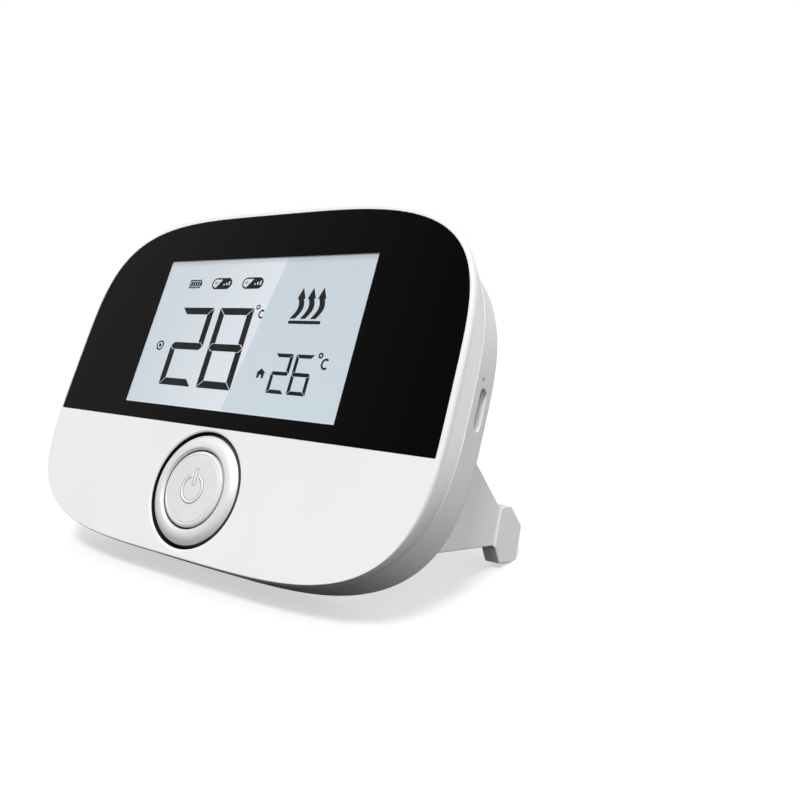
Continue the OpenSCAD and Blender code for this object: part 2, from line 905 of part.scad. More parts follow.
module switch_base() {
    color(chip_black) placed() difference() {
        block([-switch_w / 2, switch_w / 2], [dial_z - switch_w / 2, dial_z + switch_w / 2],
            switch_front, board_y);
        rod(0, dial_z, switch_front - over, board_y - switch_floor, plunger_r + plunger_gap);
    }
}

module switch_plunger() {
    color("#e6e2d8") placed() rod(0, dial_z, plunger_front, plunger_back, plunger_r);
}

// ---- Legs ----

blade_top_l = 11;      // length of the straight top edge from the hinge
blade_low_l = 6;       // length of the straight bottom edge from the hinge

// Side profile of the right leg, as distance from the hinge and height up the case
module blade_profile() {
    polygon([[0, root_low], [0, root_high], [blade_top_l, root_high],
        foot_point(leg_l - 12.5, 15.8), foot_point(leg_l - 12.3, 7), [blade_low_l, root_low]]);
}

module foot_profile() {
    polygon([foot_point(leg_l - 12.6, 7), foot_point(leg_l - 8.7, 1.7), foot_point(leg_l, -0.9),
        foot_rear, foot_point(leg_l - 8.2, 15.5), foot_point(leg_l - 11.9, 16.5),
        foot_point(leg_l - 13.1, 16.2)]);
}

module leg_sheet(t) {
    translate([-t / 2, 0, 0]) rotate([90, 0, 90]) linear_extrude(t) children();
}

module leg() {
    placed() difference() {
        translate([hinge_x, hinge_y, 0]) rotate([0, 0, -leg_splay]) difference() {
            union() {
                leg_sheet(leg_t) blade_profile();
                leg_sheet(foot_t) foot_profile();
                translate([0, 0, root_low])
                    cylinder(d = leg_t, h = root_high - root_low);
            }
            translate([0, 0, root_low - over])
                cylinder(d = leg_pin_d + 2 * run_gap, h = root_h + 2 * over);
        }
        translate([hinge_x, 0, table_z(0)])
            rotate([recline, 0, 0])
                translate([-leg_l, -body_h, -body_h]) cube([2 * leg_l, 3 * body_h, body_h]);
    }
}

module leg_right() {
    color(case_white) leg();
}

module leg_left() {
    color(case_white) mirror([1, 0, 0]) leg();
}

module leg_pins() {
    color(steel) placed() both_sides() leg_pin();
}

front_housing();
rear_housing();
housing_screws();
display_lens();
lens_adhesive();
front_polariser();
lcd_front_glass();
lcd_rear_glass();
rear_polariser();
diffuser_film();
light_guide();
backlight_leds();
lcd_tray();
zebra_strip();
main_board();
board_screws();
controller_chip();
wifi_module();
wifi_shield();
radio_module();
antenna_coil();
temperature_sensor();
charge_led();
usb_shell();
usb_tongue();
battery_cell();
battery_tape();
battery_header();
battery_plug();
battery_lead_red();
battery_lead_black();
encoder_base();
encoder_rotor();
dial_ring();
dial_clip();
button_guide();
button_cap();
switch_base();
switch_plunger();
leg_right();
leg_left();
leg_pins();
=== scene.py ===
import json
import math

import bmesh
import bpy
from mathutils import Matrix, Vector


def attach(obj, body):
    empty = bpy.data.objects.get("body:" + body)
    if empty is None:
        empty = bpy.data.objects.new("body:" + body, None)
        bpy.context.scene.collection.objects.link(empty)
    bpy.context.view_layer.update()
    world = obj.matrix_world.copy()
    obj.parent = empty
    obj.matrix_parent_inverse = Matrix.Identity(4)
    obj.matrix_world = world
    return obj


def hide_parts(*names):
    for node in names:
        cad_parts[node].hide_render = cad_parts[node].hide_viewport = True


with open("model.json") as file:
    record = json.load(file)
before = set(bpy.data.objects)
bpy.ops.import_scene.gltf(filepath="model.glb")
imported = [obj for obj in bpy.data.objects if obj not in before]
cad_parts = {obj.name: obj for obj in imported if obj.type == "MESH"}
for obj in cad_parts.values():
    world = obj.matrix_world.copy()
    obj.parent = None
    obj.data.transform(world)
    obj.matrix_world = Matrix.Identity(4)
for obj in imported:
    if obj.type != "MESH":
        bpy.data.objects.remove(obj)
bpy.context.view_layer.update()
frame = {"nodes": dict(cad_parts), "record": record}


# ---- Front housing ----
# The front half of the case is one shell of white ABS, injection moulded in a fine satin
# cavity. Its face carries a shallow recess for the dark lens and a round well for the dial,
# and it is closed from behind by four screws.

# Pieces are drawn in the case's own millimetres: x to the right, y into the case from the
# face, z up the face. The record's flat back gives how the case leans and where it stands.
back_mount = next(m for m in frame["record"]["mounts"] if m["name"] == "back_face")
case_t = 15.4
back_mount_z = 25  # of the record's point on the back, up the face from its middle
inward = Vector(back_mount["axis"])
upward = Vector((0, -inward.z, inward.y))
face_middle = Vector(back_mount["pos_m"]) - (inward * case_t + upward * back_mount_z) / 1000
lean = Matrix((Vector((1, 0, 0)), inward, upward)).transposed().to_4x4()
CASE = Matrix.Translation(face_middle) @ lean @ Matrix.Scale(0.001, 4)

# The face and the seam are rounded rectangles: half the width, half the height, how square
# the upper and the lower half are, and for the seam how high its middle lies
face_w, face_h, face_upper, face_lower = 59.6, 42.9, 3.9, 4.1
seam_w, seam_h, seam_upper, seam_lower, seam_mid = 61.3, 44.7, 2.9, 3.4, 0.9
seam_y, seam_step, seam_break = 5.8, 0.12, 0.06
# The rounding of the face's edge: its depth, its width at the sides, its height at the top
# and bottom, how far it lifts the outline, and how much less square it makes the two halves
edge_depth, edge_side, edge_top, edge_lift = 1.8, 0.9, 1.18, 0.67
upper_ease, lower_ease, edge_fullness, edge_steps = 0.3, 0.2, 0.75, 12
wall_t, rim_inset = 2.0, 0.1
shelf_y, shelf_back = 1.8, 3.2
window_x, window_low, window_top = 36.8, -12.0, 33.6
lens_low, lens_gap, recess_inset, cut_round = -13.2, 0.1, 0.2, 0.18
dial_z = -27.8
well_r, well_y, hub_bore_r = 13.5, 2.8, 7.05
# The last of these is the depth in the well below which it is coloured dark as painted shade
well_lip, lip_steps, well_shade_y = 0.55, 4, 0.25
ring_steps = 192


def srgb(code):
    parts = [int(code[i:i + 2], 16) / 255 for i in (1, 3, 5)]
    return tuple(p / 12.92 if p <= 0.04045 else ((p + 0.055) / 1.055) ** 2.4 for p in parts) + (1,)


def node(material, kind, inputs=(), **settings):
    made = material.node_tree.nodes.new("ShaderNode" + kind)
    for name, value in settings.items():
        setattr(made, name, value)
    for name, value in dict(inputs).items():
        if isinstance(value, bpy.types.NodeSocket):
            material.node_tree.links.new(value, made.inputs[name])
        else:
            made.inputs[name].default_value = value
    return made


def new_material(name):
    material = bpy.data.materials.new(name)
    material.use_nodes = True
    material.node_tree.nodes.clear()
    return material


def add_object(name, data):
    made = bpy.data.objects.new(name, data)
    bpy.context.scene.collection.objects.link(made)
    return made


def new_piece(name, bm, material, body):
    mesh = bpy.data.meshes.new(name)
    bm.to_mesh(mesh)
    bm.free()
    mesh.transform(CASE)
    mesh.polygons.foreach_set("use_smooth", [True] * len(mesh.polygons))
    mesh.set_sharp_from_angle(angle=math.radians(32))
    mesh.materials.append(material)
    piece = add_object(name, mesh)
    even = piece.modifiers.new("even_shading", "WEIGHTED_NORMAL")
    even.keep_sharp = True
    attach(piece, body)
    return piece


# The point of a rounded rectangle at a turn about its middle
def outline_point(turn, half_w, half_h, upper, lower, middle=0.0):
    c, s = math.cos(turn), math.sin(turn)
    n = upper if s >= 0 else lower
    return (half_w * math.copysign(abs(c) ** (2 / n), c),
            middle + half_h * math.copysign(abs(s) ** (2 / n), s))


def only_verts(geom):
    return [g for g in geom if isinstance(g, bmesh.types.BMVert)]


# The edges that run between the given vertices
def edges_among(verts):
    chosen = set(verts)
    return list({e for v in verts for e in v.link_edges if set(e.verts) <= chosen})


# A closed ring of edges round the case; each vertex keeps its turn about the case's middle
def case_ring(bm, depth, *outline):
    layer = bm.verts.layers.float.get("turn") or bm.verts.layers.float.new("turn")
    verts = bmesh.ops.create_circle(bm, segments=ring_steps, radius=1)["verts"]
    for v in verts:
        v[layer] = math.atan2(v.co.y, v.co.x)
        x, z = outline_point(v[layer], *outline)
        v.co = (x, depth, z)
    return edges_among(verts)


def next_verts(bm, edges):
    return only_verts(bmesh.ops.extrude_edge_only(bm, edges=edges)["geom"])


def next_case_ring(bm, edges, depth, *outline):
    layer = bm.verts.layers.float["turn"]
    verts = next_verts(bm, edges)
    for v in verts:
        x, z = outline_point(v[layer], *outline)
        v.co = (x, depth, z)
    return edges_among(verts)


# A ring of edges about the dial's axis
def round_ring(bm, depth, radius):
    place = Matrix.Translation((0, depth, dial_z)) @ Matrix.Rotation(math.radians(90), 4, "X")
    made = bmesh.ops.create_circle(bm, segments=128, radius=radius, matrix=place)
    return edges_among(made["verts"])


def next_round_ring(bm, edges, depth, radius):
    verts = next_verts(bm, edges)
    for v in verts:
        out = Vector((v.co.x, 0, v.co.z - dial_z)).normalized() * radius
        v.co = (out.x, depth, dial_z + out.z)
    return edges_among(verts)


def next_straight(bm, edges, depth):
    verts = next_verts(bm, edges)
    for v in verts:
        v.co.y = depth
    return edges_among(verts)


def rectangle(bm, depth, low_x, high_x, low_z, high_z):
    corners = [(low_x, low_z), (high_x, low_z), (high_x, high_z), (low_x, high_z)]
    verts = [bm.verts.new((x, depth, z)) for x, z in corners]
    return [bm.edges.new((verts[i - 1], verts[i])) for i in range(4)]


# The dark lens's outline: the face's own, cut off straight below the display
def lens_ring(bm, depth, inset, low):
    edges = case_ring(bm, depth, face_w - inset, face_h - inset, face_upper, face_lower)
    verts = list({v for e in edges for v in e.verts})
    kept = bmesh.ops.bisect_plane(bm, geom=verts + edges, plane_co=(0, 0, low),
                                  plane_no=(0, 0, 1), clear_inner=True)["geom"]
    ring = list({v for g in kept if isinstance(g, bmesh.types.BMEdge) for v in g.verts})
    ends = [v for v in ring if len(v.link_edges) == 1]
    bm.edges.new(ends)
    return edges_among(ring)


def fill(bm, *loops):
    edges = [e for loop in loops for e in loop]
    bmesh.ops.triangle_fill(bm, use_beauty=True, edges=edges)


def soften(bm, edges, size, segments=2, clamp=False):
    bmesh.ops.bevel(bm, geom=edges, offset=size, offset_type="OFFSET", segments=segments,
                    profile=0.5, affect="EDGES", material=-1, clamp_overlap=clamp)


shell = bmesh.new()
cut_z = lens_low - lens_gap
rim = case_ring(shell, 0, face_w - rim_inset, face_h - rim_inset, face_upper, face_lower)
recess_edge = lens_ring(shell, 0, recess_inset, cut_z)
well = round_ring(shell, 0, well_r + well_lip)
fill(shell, rim, recess_edge, well)

# The rounded edge of the face, the flared side and the fine edge at the seam
side = rim
for k in range(edge_steps + 1):
    a = math.radians(90 * k / edge_steps)
    out, back = math.sin(a) ** edge_fullness, 1 - math.cos(a) ** edge_fullness
    side = next_case_ring(shell, side, edge_depth * back, face_w + edge_side * out,
                          face_h + edge_top * out, face_upper - upper_ease * out,
                          face_lower - lower_ease * out, edge_lift * out)
edge_ring = (face_w + edge_side, face_h + edge_top, face_upper - upper_ease,
             face_lower - lower_ease, edge_lift)
seam_ring = (seam_w - seam_step, seam_h - seam_step, seam_upper, seam_lower, seam_mid)
for part in (0.25, 0.5, 0.75, 0.95):
    between = [(1 - part) * near + part * far for near, far in zip(edge_ring, seam_ring)]
    side = next_case_ring(shell, side, edge_depth + part * (seam_y - edge_depth), *between)
for depth, inset in ((seam_y - seam_break, seam_step), (seam_y, seam_step + seam_break),
                     (seam_y, wall_t), (shelf_back, wall_t)):
    side = next_case_ring(shell, side, depth, seam_w - inset, seam_h - inset, seam_upper,
                          seam_lower, seam_mid)

# The recess for the lens with the window for the display behind it, and the dial's well
recess = next_straight(shell, recess_edge, shelf_y)
window = rectangle(shell, shelf_y, -window_x, window_x, window_low, window_top)
fill(shell, recess, window)
window = next_straight(shell, window, shelf_back)
for k in range(1, lip_steps + 1):
    a = math.radians(90 * k / lip_steps)
    well = next_round_ring(shell, well, well_lip * (1 - math.cos(a)),
                           well_r + well_lip * (1 - math.sin(a)))
well = next_round_ring(shell, well, well_y, well_r)
well = next_round_ring(shell, well, well_y, hub_bore_r)
well = next_round_ring(shell, well, shelf_back, hub_bore_r)
fill(shell, side, window, well)
bmesh.ops.recalc_face_normals(shell, faces=shell.faces)
# The straight edge of the lower face, along the lens, is rounded off a little
cut_edges = [e for e in recess_edge if all(abs(v.co.z - cut_z) < 0.01 for v in e.verts)]
soften(shell, cut_edges, cut_round, clamp=True)

# Below its lip the well is coloured near-black as painted shade in the gap round the dial
for face in shell.faces:
    middle = face.calc_center_median()
    reach = math.hypot(middle.x, middle.z - dial_z)
    face.material_index = int(hub_bore_r < reach < well_r + 0.04 and middle.y > well_shade_y)

# White moulded ABS: an even satin with a hint of grain, the gloss wandering a little
abs_white = new_material("moulded_white_abs")
place = node(abs_white, "TexCoord").outputs["Object"]
cloud = node(abs_white, "TexNoise", {"Vector": place, "Scale": 1 / 0.030, "Detail": 2.0})
tone = node(abs_white, "MapRange", {"Value": cloud.outputs["Fac"], "From Min": 0.3,
                                    "From Max": 0.7})
colour = node(abs_white, "Mix", {0: tone.outputs["Result"], 6: srgb("#ECECEC"), 7: srgb("#F0F0EF")},
              data_type="RGBA")
gloss = node(abs_white, "MapRange", {"Value": cloud.outputs["Fac"], "From Min": 0.3,
                                     "From Max": 0.7, "To Min": 0.34, "To Max": 0.42})
# The cavity's grain is about 0.05 mm, drawn here at 0.25 mm so that it shows at all
grain = node(abs_white, "TexNoise", {"Vector": place, "Scale": 1 / 0.00025, "Detail": 1.0})
relief = node(abs_white, "Bump", {"Height": grain.outputs["Fac"], "Strength": 0.10,
                                  "Distance": 0.00002})
skin = node(abs_white, "BsdfPrincipled", {
    "Base Color": colour.outputs[2], "Roughness": gloss.outputs["Result"], "IOR": 1.53,
    "Normal": relief.outputs["Normal"]})
node(abs_white, "OutputMaterial", {"Surface": skin.outputs["BSDF"]})

# Painted shade: a matt near-black in the well, so that the gap round the dial reads as a dark line
well_shade_paint = new_material("painted_shade_well")
place = node(well_shade_paint, "TexCoord").outputs["Object"]
cloud = node(well_shade_paint, "TexNoise", {"Vector": place, "Scale": 1 / 0.002, "Detail": 2.0})
colour = node(well_shade_paint, "Mix", {0: cloud.outputs["Fac"], 6: srgb("#1E1E1F"), 7: srgb("#2A2A2B")},
              data_type="RGBA")
dull = node(well_shade_paint, "BsdfPrincipled", {
    "Base Color": colour.outputs[2], "Roughness": 0.6, "Specular IOR Level": 0.2})
node(well_shade_paint, "OutputMaterial", {"Surface": dull.outputs["BSDF"]})

front_shell = new_piece("front_shell", shell, abs_white, "housing")
front_shell.data.materials.append(well_shade_paint)
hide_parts("front_housing")


# ---- Rear housing ----
# The rear half of the case, moulded in the same white ABS, with two wall keyholes, a row of
# vent slots, four screw wells, the socket's opening and a pocket for each leg. Its outer
# edges have the small radius that a mould leaves.

seam_chamfer, back_round = 0.12, 0.15
pocket_side_x, pocket_side_z = 44, -14


# A copy of a CAD node in the case's millimetres, with its loose triangles joined again
def joined_copy(name):
    bm = bmesh.new()
    bm.from_mesh(frame["nodes"][name].data)
    bm.transform(CASE.inverted())
    bmesh.ops.remove_doubles(bm, verts=bm.verts, dist=0.003)
    bmesh.ops.dissolve_limit(bm, angle_limit=math.radians(0.4), verts=bm.verts, edges=bm.edges)
    return bm


def sharp_edges(bm, chosen):
    return [e for e in bm.edges if len(e.link_faces) == 2 and e.is_manifold
            and e.calc_face_angle() > math.radians(38)
            and all(chosen(v.co) for v in e.verts)]


# The outer edge at the seam, and nothing further in at the same depth
def on_seam(co):
    n = seam_upper if co.z >= seam_mid else seam_lower
    reach = abs(co.x / seam_w) ** n + abs((co.z - seam_mid) / seam_h) ** n
    return abs(co.y - seam_y) < 0.01 and reach > 0.96


# The back's edges, but for the low corners, where the leg pockets lie close to the side
def on_back(co):
    return co.y > case_t - 0.01 and (abs(co.x) < pocket_side_x or co.z > pocket_side_z)


rear = joined_copy("rear_housing")
soften(rear, sharp_edges(rear, on_seam), seam_chamfer, segments=1)
soften(rear, sharp_edges(rear, on_back), back_round)
rear_shell = new_piece("rear_shell", rear, abs_white, "housing")
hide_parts("rear_housing")


# ---- Dark lens ----
# A flat front panel of clear cast acrylic, printed black behind but for the display window,
# cut to the shape of the face and stuck into its recess. It is polished, with its edge
# broken all round.

lens_t, lens_inset, lens_round = 1.6, 0.3, 0.2
display_w, display_h, display_z = 68.0, 40.0, 10.8
print_depth, window_depth = 0.35, 0.45
display_low, display_top = display_z - display_h / 2, display_z + display_h / 2

lens = bmesh.new()
lens_edge = lens_ring(lens, 0, lens_inset, lens_low)
opening = rectangle(lens, 0, -display_w / 2, display_w / 2, display_low, display_top)
fill(lens, lens_edge, opening)
# The clear window is left open down to just behind the display's film
fill(lens, next_straight(lens, opening, window_depth))
fill(lens, next_straight(lens, lens_edge, lens_t))
bmesh.ops.recalc_face_normals(lens, faces=lens.faces)
soften(lens, lens_edge, lens_round)

# Polished acrylic over black print: a deep black with only a faint mirror on top. A painted
# reflection lightens it a little towards the left end
acrylic = new_material("black_backed_acrylic")
place = node(acrylic, "TexCoord").outputs["Object"]
axes = node(acrylic, "SeparateXYZ", {"Vector": place})
# Painted reflection: the base colour grows lighter towards the lens's left end
left_reflection = node(acrylic, "MapRange", {"Value": axes.outputs["X"], "From Min": 0.055,
                                  "From Max": -0.035})
colour = node(acrylic, "Mix", {0: left_reflection.outputs["Result"], 6: srgb("#080808"), 7: srgb("#1C1C1C")},
              data_type="RGBA")
polish = node(acrylic, "TexNoise", {"Vector": place, "Scale": 1 / 0.004, "Detail": 3.0})
gloss = node(acrylic, "MapRange", {"Value": polish.outputs["Fac"], "From Min": 0.3,
                                   "From Max": 0.8, "To Min": 0.05, "To Max": 0.09})
pane = node(acrylic, "BsdfPrincipled", {
    "Base Color": colour.outputs[2], "Roughness": gloss.outputs["Result"], "IOR": 1.49,
    "Specular IOR Level": 0.02})
node(acrylic, "OutputMaterial", {"Surface": pane.outputs["BSDF"]})

lens_panel = new_piece("lens_panel", lens, acrylic, "housing")
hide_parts("display_lens")


# ---- Display ----
# A reflective liquid crystal display with a pale blue-grey backing, seen through its front
# polariser. It is clamped between the lens and its tray, and the thin lip of its gasket
# stands up round it.

gasket_w, gasket_rise, film_t, screen_fit = 0.35, 0.12, 0.08, 0.03
half_w, half_h = display_w / 2 - screen_fit, display_h / 2 - screen_fit

screen = bmesh.new()
plane = (Matrix.Translation((0, print_depth, display_z)) @ Matrix.Rotation(math.radians(90), 4, "X")
         @ Matrix.Diagonal((half_w, half_h, 1, 1)))
bmesh.ops.create_grid(screen, x_segments=1, y_segments=1, size=1, matrix=plane)
bmesh.ops.inset_region(screen, faces=screen.faces, thickness=gasket_w, use_boundary=True)
outer = [v for v in screen.verts if abs(v.co.x) > half_w - 0.01]
bmesh.ops.translate(screen, verts=outer, vec=(0, -gasket_rise, 0))
rim_edges = [e for e in screen.edges if e.is_boundary]
fill(screen, next_straight(screen, rim_edges, print_depth + film_t))
bmesh.ops.recalc_face_normals(screen, faces=screen.faces)

# The polariser's pale blue-grey with a painted reflection, lighter on the left of a slanting sheen
# line, and a painted shadow of the window's upper edge darkening it just under that edge. The
# pattern is laid out in the case's millimetres
sheen_lean, sheen_rise, sheen_foot, sheen_blur, left_fade = 7.0, 39.5, 2.0, 0.15, 30
shade_start, shade_end = 2.0, 0.4  # below the upper edge
film = new_material("display_polariser")
place = node(film, "TexCoord").outputs["Object"]
upright = node(film, "Mapping", {"Vector": place, "Location": -face_middle}, vector_type="POINT")
flat = node(film, "Mapping", {"Vector": upright.outputs["Vector"],
                              "Rotation": (math.asin(-inward.z), 0, 0),
                              "Scale": (1000, 1000, 1000)}, vector_type="POINT")
axes = node(film, "SeparateXYZ", {"Vector": flat.outputs["Vector"]})
# Painted reflection: the slanting sheen line and the tones on either side of it
line = node(film, "Math", {0: axes.outputs["Z"], 1: sheen_lean / sheen_rise, 2: sheen_foot},
            operation="MULTIPLY_ADD")
across = node(film, "Math", {0: axes.outputs["X"], 1: line.outputs[0]}, operation="SUBTRACT")
side_mix = node(film, "MapRange", {"Value": across.outputs[0], "From Min": -sheen_blur,
                                   "From Max": sheen_blur})
left_tone = node(film, "MapRange", {"Value": across.outputs[0], "From Min": -left_fade,
                                    "From Max": 0})
left = node(film, "Mix", {0: left_tone.outputs["Result"], 6: srgb("#D0D9E0"), 7: srgb("#E0E6EC")},
            data_type="RGBA")
right_tone = node(film, "MapRange", {"Value": axes.outputs["Z"], "From Min": display_low,
                                     "From Max": display_top})
right = node(film, "Mix", {0: right_tone.outputs["Result"], 6: srgb("#CCD8E0"), 7: srgb("#CAD4DD")},
             data_type="RGBA")
both = node(film, "Mix", {0: side_mix.outputs["Result"], 6: left.outputs[2], 7: right.outputs[2]},
            data_type="RGBA")
# Painted shadow under the window's upper edge
shade = node(film, "MapRange", {"Value": axes.outputs["Z"], "From Min": display_top - shade_start,
                                "From Max": display_top - shade_end, "To Min": 0.0,
                                "To Max": 0.30}, interpolation_type="SMOOTHSTEP")
toned = node(film, "Mix", {0: shade.outputs["Result"], 6: both.outputs[2], 7: srgb("#7F898F")},
             data_type="RGBA")
speckle = node(film, "TexNoise", {"Vector": flat.outputs["Vector"], "Scale": 4.0, "Detail": 2.0})
fine = node(film, "MapRange", {"Value": speckle.outputs["Fac"], "From Min": 0.3, "From Max": 0.7,
                               "To Min": 0.97, "To Max": 1.0})
final = node(film, "Mix", {0: 1.0, 6: toned.outputs[2], 7: fine.outputs["Result"]},
             data_type="RGBA", blend_type="MULTIPLY")
pane = node(film, "BsdfPrincipled", {
    "Base Color": final.outputs[2], "Roughness": 0.35, "IOR": 1.5, "Specular IOR Level": 0.3})
node(film, "OutputMaterial", {"Surface": pane.outputs["BSDF"]})

display_screen = new_piece("display_screen", screen, film, "housing")
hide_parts("front_polariser")


# ---- Display figures ----
# The dark parts of the liquid crystal: two pairs of seven-bar figures with their degree
# signs, and the small signs for charge, radio, set point, room and heating. Each is a thin
# film of dark crystal just over the backing.

ink_t = 0.03
ink_front = print_depth - ink_t
mark_front, mark_t = ink_front - 0.02, 0.01
dark_mark_front = ink_front - 0.04


# An outline, as points across and up, made a thin plate
def plate(bm, points, front=ink_front, thickness=ink_t):
    face = bm.faces.new([bm.verts.new((x, front, z)) for x, z in points])
    made = bmesh.ops.extrude_face_region(bm, geom=[face])["geom"]
    bmesh.ops.translate(bm, verts=only_verts(made), vec=(0, thickness, 0))


def arc_points(x, z, radius, start, end, steps):
    turns = [math.radians(start + (end - start) * k / steps) for k in range(steps + 1)]
    return [(x + radius * math.cos(a), z + radius * math.sin(a)) for a in turns]


# A stroke along an arc, squashed sideways for the open letter of the degree sign
def arc_plate(bm, x, z, radius, stroke, start, end, squash=1.0, steps=24, front=ink_front):
    turns = [math.radians(start + (end - start) * k / steps) for k in range(steps + 1)]
    outer_arc = [(x + squash * (radius + stroke / 2) * math.cos(a),
                  z + (radius + stroke / 2) * math.sin(a)) for a in turns]
    inner_arc = [(x + squash * radius * math.cos(a) - stroke / 2 * math.cos(a),
                  z + (radius - stroke / 2) * math.sin(a)) for a in turns]
    for k in range(steps):
        plate(bm, [outer_arc[k], outer_arc[k + 1], inner_arc[k + 1], inner_arc[k]], front)


# The outlines of the seven bars of one figure, mitred where they meet
def seven_bars(x0, x1, z0, z1, bar, gap):
    m, h = (z0 + z1) / 2, bar / 2
    upper_right = [(x1, z1 - gap), (x1, m + gap), (x1 - h, m + h + gap), (x1 - bar, m + h + gap),
                   (x1 - bar, z1 - bar - gap)]
    top = [(x0 + gap, z1), (x1 - gap, z1), (x1 - bar - gap, z1 - bar),
           (x0 + bar + gap, z1 - bar)]
    middle = [(x0 + gap, m), (x0 + h + gap, m + h), (x1 - h - gap, m + h), (x1 - gap, m),
              (x1 - h - gap, m - h), (x0 + h + gap, m - h)]

    def flipped(shape, sideways, over):
        return [(x0 + x1 - x if sideways else x, 2 * m - z if over else z) for x, z in shape]

    return {"top": top, "middle": middle, "bottom": flipped(top, False, True),
            "upper_right": upper_right, "upper_left": flipped(upper_right, True, False),
            "lower_right": flipped(upper_right, False, True),
            "lower_left": flipped(upper_right, True, True)}


two = ("top", "upper_right", "middle", "lower_left", "bottom")
six = ("top", "upper_left", "middle", "lower_left", "lower_right", "bottom")
eight = six + ("upper_right",)

# Each figure by its left, right, foot and top, its bars' width and the gaps between them
figures = bmesh.new()
for x0, x1, z0, z1, bar, gap, lit in (
        (-23.9, -12.4, -3.9, 17.2, 1.85, 0.14, two),
        (-10.2, 1.3, -3.9, 17.2, 1.85, 0.14, eight),
        (12.5, 17.7, -3.6, 6.0, 0.88, 0.09, two),
        (18.6, 23.9, -3.6, 6.0, 0.88, 0.09, six)):
    bars = seven_bars(x0, x1, z0, z1, bar, gap)
    for name in lit:
        plate(figures, bars[name])
for x, z, ring_r, c_x, c_z, c_r, stroke in ((2.4, 17.5, 0.5, 4.1, 15.7, 0.95, 0.40),
                                            (25.4, 6.0, 0.5, 27.2, 4.05, 1.1, 0.50)):
    arc_plate(figures, x, z, ring_r, stroke * 0.75, 0, 360)
    arc_plate(figures, c_x, c_z, c_r, stroke, 48, 312, squash=0.85)

# Heating: three rising arrows over a bar
arrow_x, arrow_pitch = 14.95, 3.05
head_w, head_low, head_top, head_lean = 2.4, 19.7, 22.5, 0.15
tail_low, shaft_half, shaft_steps = 14.65, 0.78, 12
for k in range(3):
    x = arrow_x + k * arrow_pitch
    plate(figures, [(x - head_w / 2 + head_lean, head_low),
                    (x + head_w / 2 + head_lean, head_low), (x, head_top)])
    path = []
    for i in range(shaft_steps + 1):
        t = i / shaft_steps
        path.append((x + 0.1 + 0.75 * math.sin(math.pi * 1.05 * t) - 0.95 * t ** 2.2,
                     head_low + 0.02 - t * (head_low - tail_low)))
    for (xa, za), (xb, zb) in zip(path, path[1:]):
        plate(figures, [(xa - shaft_half, za), (xa + shaft_half, za),
                        (xb + shaft_half, zb), (xb - shaft_half, zb)])
plate(figures, [(13.3, 13.38), (22.4, 13.38), (22.6, 13.58), (22.6, 13.98), (22.4, 14.18),
                (13.3, 14.18), (13.1, 13.98), (13.1, 13.58)])

# Charge: a cell outline with four bars
for x0, x1, z0, z1 in ((-24.5, -20.4, 24.85, 25.15), (-24.5, -20.4, 22.75, 23.05),
                       (-24.5, -24.2, 22.75, 25.15), (-20.7, -20.4, 22.75, 25.15),
                       (-20.4, -20.0, 23.4, 24.5)):
    plate(figures, [(x0, z0), (x1, z0), (x1, z1), (x0, z1)])
for k in range(4):
    x = -24.0 + 0.82 * k
    plate(figures, [(x, 23.25), (x + 0.6, 23.25), (x + 0.6, 24.65), (x, 24.65)])

# Radio: two capsules, each with a wave sign in its clear left end and three rising bars in
# its dark right one
pill_w, pill_h, pill_z = 7.0, 3.1, 23.95
pill_r, clear_r = pill_h / 2, 1.15
stair_w, stair_pitch = 0.45, 0.9
marks = bmesh.new()
for middle_x in (-12.65, -1.95):
    x0, x1, z = middle_x - pill_w / 2 + pill_r, middle_x + pill_w / 2 - pill_r, pill_z
    plate(figures, arc_points(x1, z, pill_r, -90, 90, 16) + arc_points(x0, z, pill_r, 90, 270, 16))
    clear = arc_points(x0, z, clear_r, 70, 275, 14)
    plate(marks, clear + [(x0 + 0.5, z - 0.75), (x0 + 2.0, z + 1.1)], mark_front, mark_t)
    for k in range(3):
        left_x, top_z = x1 - 1.3 + stair_pitch * k, z - 0.1 + 0.35 * k
        plate(marks, [(left_x, z - 0.5), (left_x + stair_w, z - 0.5), (left_x + stair_w, top_z),
                      (left_x, top_z)], mark_front, mark_t)
    for radius in (0.35, 0.75):
        arc_plate(figures, x0 - 0.1, z - 0.45, radius, 0.18, 45, 135, steps=8,
                  front=dark_mark_front)

# Set point: a ring with a centre dot; room: a house
set_x, set_z = -28.1, 6.5
arc_plate(figures, set_x, set_z, 1.15, 0.38, 0, 360)
plate(figures, arc_points(set_x, set_z, 0.5, 0, 330, 11))
plate(figures, [(8.0, 1.0), (9.4, 2.1), (10.8, 1.0), (10.45, 1.0), (10.45, -0.2), (9.75, -0.2),
                (9.75, 0.55), (9.05, 0.55), (9.05, -0.2), (8.35, -0.2), (8.35, 1.0)])
for bm in (figures, marks):
    bmesh.ops.remove_doubles(bm, verts=bm.verts, dist=0.0005)
    bmesh.ops.recalc_face_normals(bm, faces=bm.faces)

# Dark twisted crystal: a neutral charcoal, a touch uneven where the cell is driven less
crystal = new_material("dark_liquid_crystal")
place = node(crystal, "TexCoord").outputs["Object"]
drive = node(crystal, "TexNoise", {"Vector": place, "Scale": 1 / 0.012, "Detail": 2.0})
tone = node(crystal, "MapRange", {"Value": drive.outputs["Fac"], "From Min": 0.3, "From Max": 0.7})
colour = node(crystal, "Mix", {0: tone.outputs["Result"], 6: srgb("#0E0F10"), 7: srgb("#1F2022")},
              data_type="RGBA")
dark = node(crystal, "BsdfPrincipled", {
    "Base Color": colour.outputs[2], "Roughness": 0.4, "IOR": 1.5, "Specular IOR Level": 0.2})
node(crystal, "OutputMaterial", {"Surface": dark.outputs["BSDF"]})

display_figures = new_piece("display_figures", figures, crystal, "housing")
display_marks = new_piece("display_marks", marks, film, "housing")


